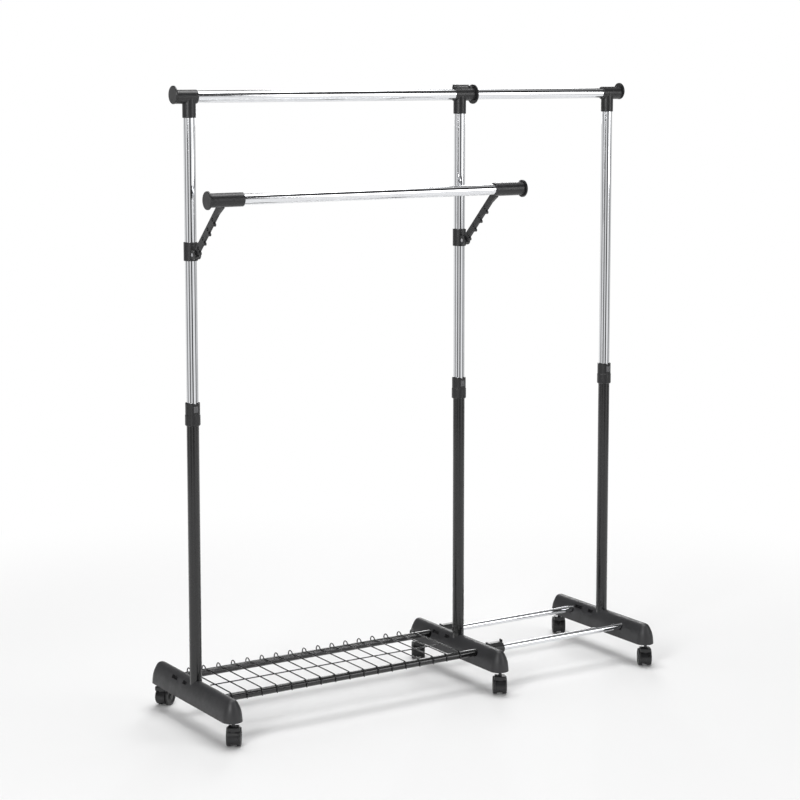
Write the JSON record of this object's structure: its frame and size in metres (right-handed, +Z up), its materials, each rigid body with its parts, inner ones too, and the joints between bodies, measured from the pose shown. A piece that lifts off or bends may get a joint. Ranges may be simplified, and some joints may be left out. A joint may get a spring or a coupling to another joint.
{
  "type": "rolling clothes rack",
  "caption": "Extendable rolling clothes rack with height-adjustable posts, a folding front rail, hook arms, a wire shoe shelf and swivel casters.",
  "frame": {"origin": "on the floor, below the posts' row and half-way between the two outer posts", "axes": "+X along the rails towards the extending end, +Y to the back (the folding rail is on the -Y side), +Z up"},
  "size_m": [1.291, 0.4327, 1.5064],
  "materials": {
    "charcoal_plastic": "fine-textured charcoal moulding",
    "button_plastic": "smooth grey moulding",
    "black_painted_steel": "gloss black powder coat",
    "black_wire": "gloss black dipped wire",
    "chrome": "bright chrome plate",
    "caster_plastic": "semi-gloss black moulding",
    "wheel_plastic": "satin dark grey moulding",
    "steel": "zinc-plated steel"
  },
  "bodies": {
    "base": {"left_foot_front": "charcoal_plastic", "left_foot_rear": "charcoal_plastic", "middle_foot_front": "charcoal_plastic", "middle_foot_rear": "charcoal_plastic", "left_lower_post": "black_painted_steel", "middle_lower_post": "black_painted_steel", "front_shelf_tube": "black_painted_steel", "rear_shelf_tube": "black_painted_steel", "wire_shelf": "black_wire", "left_height_collar": "charcoal_plastic", "middle_height_collar": "charcoal_plastic", "front_tube_clamp": "charcoal_plastic", "rear_tube_clamp": "charcoal_plastic", "base_caster_stems": "steel"},
    "upper_frame": {"left_upper_post": "chrome", "middle_upper_post": "chrome", "top_rail": "chrome", "left_tee": "charcoal_plastic", "middle_tee": "charcoal_plastic", "left_arm_collar": "charcoal_plastic", "middle_arm_collar": "charcoal_plastic", "arm_pins": "steel"},
    "front_hanger": {"left_hanger_arm": "charcoal_plastic", "right_hanger_arm": "charcoal_plastic", "front_rail": "chrome"},
    "right_base": {"right_foot_front": "charcoal_plastic", "right_foot_rear": "charcoal_plastic", "right_lower_post": "black_painted_steel", "front_extension_tube": "chrome", "rear_extension_tube": "chrome", "right_height_collar": "charcoal_plastic", "right_caster_stems": "steel"},
    "right_upper": {"right_upper_post": "chrome", "right_tee": "charcoal_plastic", "extension_rail": "chrome"},
    "left_button": {"left_height_button": "button_plastic"},
    "middle_button": {"middle_height_button": "button_plastic"},
    "right_button": {"right_height_button": "button_plastic"},
    "front_clamp_lever_body": {"front_clamp_lever": "charcoal_plastic"},
    "rear_clamp_lever_body": {"rear_clamp_lever": "charcoal_plastic"},
    "rail_lever_body": {"rail_lock_lever": "charcoal_plastic"},
    "left_front_swivel": {"left_front_hood": "caster_plastic", "left_front_axle": "steel"},
    "left_front_roll": {"left_front_wheels": "wheel_plastic"},
    "left_rear_swivel": {"left_rear_hood": "caster_plastic", "left_rear_axle": "steel"},
    "left_rear_roll": {"left_rear_wheels": "wheel_plastic"},
    "middle_front_swivel": {"middle_front_hood": "caster_plastic", "middle_front_axle": "steel"},
    "middle_front_roll": {"middle_front_wheels": "wheel_plastic"},
    "middle_rear_swivel": {"middle_rear_hood": "caster_plastic", "middle_rear_axle": "steel"},
    "middle_rear_roll": {"middle_rear_wheels": "wheel_plastic"},
    "right_front_swivel": {"right_front_hood": "caster_plastic", "right_front_axle": "steel"},
    "right_front_roll": {"right_front_wheels": "wheel_plastic"},
    "right_rear_swivel": {"right_rear_hood": "caster_plastic", "right_rear_axle": "steel"},
    "right_rear_roll": {"right_rear_wheels": "wheel_plastic"}
  },
  "joints": [
    {"name": "extend_width", "type": "slide", "parent": "base", "child": "right_base", "axis": [1, 0, 0], "range_m": [-0.37, 0]},
    {"name": "raise_left_frame", "type": "slide", "parent": "base", "child": "upper_frame", "axis": [0, 0, 1], "range_m": [-0.32, 0]},
    {"name": "raise_right_frame", "type": "slide", "parent": "right_base", "child": "right_upper", "axis": [0, 0, 1], "range_m": [-0.32, 0]},
    {"name": "fold_front_rail", "type": "hinge", "parent": "upper_frame", "child": "front_hanger", "pos_m": [-0.6035, -0.025, 1.121], "axis": [-1, 0, 0], "range_deg": [0, 44]},
    {"name": "push_left_button", "type": "slide", "parent": "base", "child": "left_button", "axis": [0, 1, 0], "range_m": [0, 0.0012], "stiffness_N_per_m": 1500, "springref_m": -0.001},
    {"name": "push_middle_button", "type": "slide", "parent": "base", "child": "middle_button", "axis": [0, 1, 0], "range_m": [0, 0.0012], "stiffness_N_per_m": 1500, "springref_m": -0.001},
    {"name": "push_right_button", "type": "slide", "parent": "right_base", "child": "right_button", "axis": [0, 1, 0], "range_m": [0, 0.0012], "stiffness_N_per_m": 1500, "springref_m": -0.001},
    {"name": "lift_front_clamp_lever", "type": "hinge", "parent": "base", "child": "front_clamp_lever_body", "pos_m": [0.163, -0.105, 0.1085], "axis": [0, -1, 0], "range_deg": [0, 8]},
    {"name": "lift_rear_clamp_lever", "type": "hinge", "parent": "base", "child": "rear_clamp_lever_body", "pos_m": [0.163, 0.105, 0.1085], "axis": [0, -1, 0], "range_deg": [0, 8]},
    {"name": "lift_rail_lock_lever", "type": "hinge", "parent": "upper_frame", "child": "rail_lever_body", "pos_m": [0.1295, 0, 1.5025], "axis": [0, -1, 0], "range_deg": [0, 8]},
    {"name": "left_front_swivel_turn", "type": "hinge", "parent": "base", "child": "left_front_swivel", "pos_m": [-0.6035, -0.186, 0.05], "axis": [0, 0, 1], "continuous": true},
    {"name": "left_front_wheel_roll", "type": "hinge", "parent": "left_front_swivel", "child": "left_front_roll", "pos_m": [-0.594, -0.17071, 0.022], "axis": [0.8494, -0.5277, 0], "continuous": true},
    {"name": "left_rear_swivel_turn", "type": "hinge", "parent": "base", "child": "left_rear_swivel", "pos_m": [-0.6035, 0.186, 0.05], "axis": [0, 0, 1], "continuous": true},
    {"name": "left_rear_wheel_roll", "type": "hinge", "parent": "left_rear_swivel", "child": "left_rear_roll", "pos_m": [-0.5884, 0.1958, 0.022], "axis": [0.5446, -0.8387, 0], "continuous": true},
    {"name": "middle_front_swivel_turn", "type": "hinge", "parent": "base", "child": "middle_front_swivel", "pos_m": [0.1425, -0.186, 0.05], "axis": [0, 0, 1], "continuous": true},
    {"name": "middle_front_wheel_roll", "type": "hinge", "parent": "middle_front_swivel", "child": "middle_front_roll", "pos_m": [0.152, -0.17071, 0.022], "axis": [0.8494, -0.5277, 0], "continuous": true},
    {"name": "middle_rear_swivel_turn", "type": "hinge", "parent": "base", "child": "middle_rear_swivel", "pos_m": [0.1425, 0.186, 0.05], "axis": [0, 0, 1], "continuous": true},
    {"name": "middle_rear_wheel_roll", "type": "hinge", "parent": "middle_rear_swivel", "child": "middle_rear_roll", "pos_m": [0.152, 0.20129, 0.022], "axis": [0.8494, -0.5277, 0], "continuous": true},
    {"name": "right_front_swivel_turn", "type": "hinge", "parent": "right_base", "child": "right_front_swivel", "pos_m": [0.6035, -0.186, 0.05], "axis": [0, 0, 1], "continuous": true},
    {"name": "right_front_wheel_roll", "type": "hinge", "parent": "right_front_swivel", "child": "right_front_roll", "pos_m": [0.613, -0.17071, 0.022], "axis": [0.8494, -0.5277, 0], "continuous": true},
    {"name": "right_rear_swivel_turn", "type": "hinge", "parent": "right_base", "child": "right_rear_swivel", "pos_m": [0.6035, 0.186, 0.05], "axis": [0, 0, 1], "continuous": true},
    {"name": "right_rear_wheel_roll", "type": "hinge", "parent": "right_rear_swivel", "child": "right_rear_roll", "pos_m": [0.613, 0.20129, 0.022], "axis": [0.8494, -0.5277, 0], "continuous": true}
  ],
  "couplings": [
    {"joint": "raise_right_frame", "follows": "raise_left_frame", "ratio": 1}
  ]
}
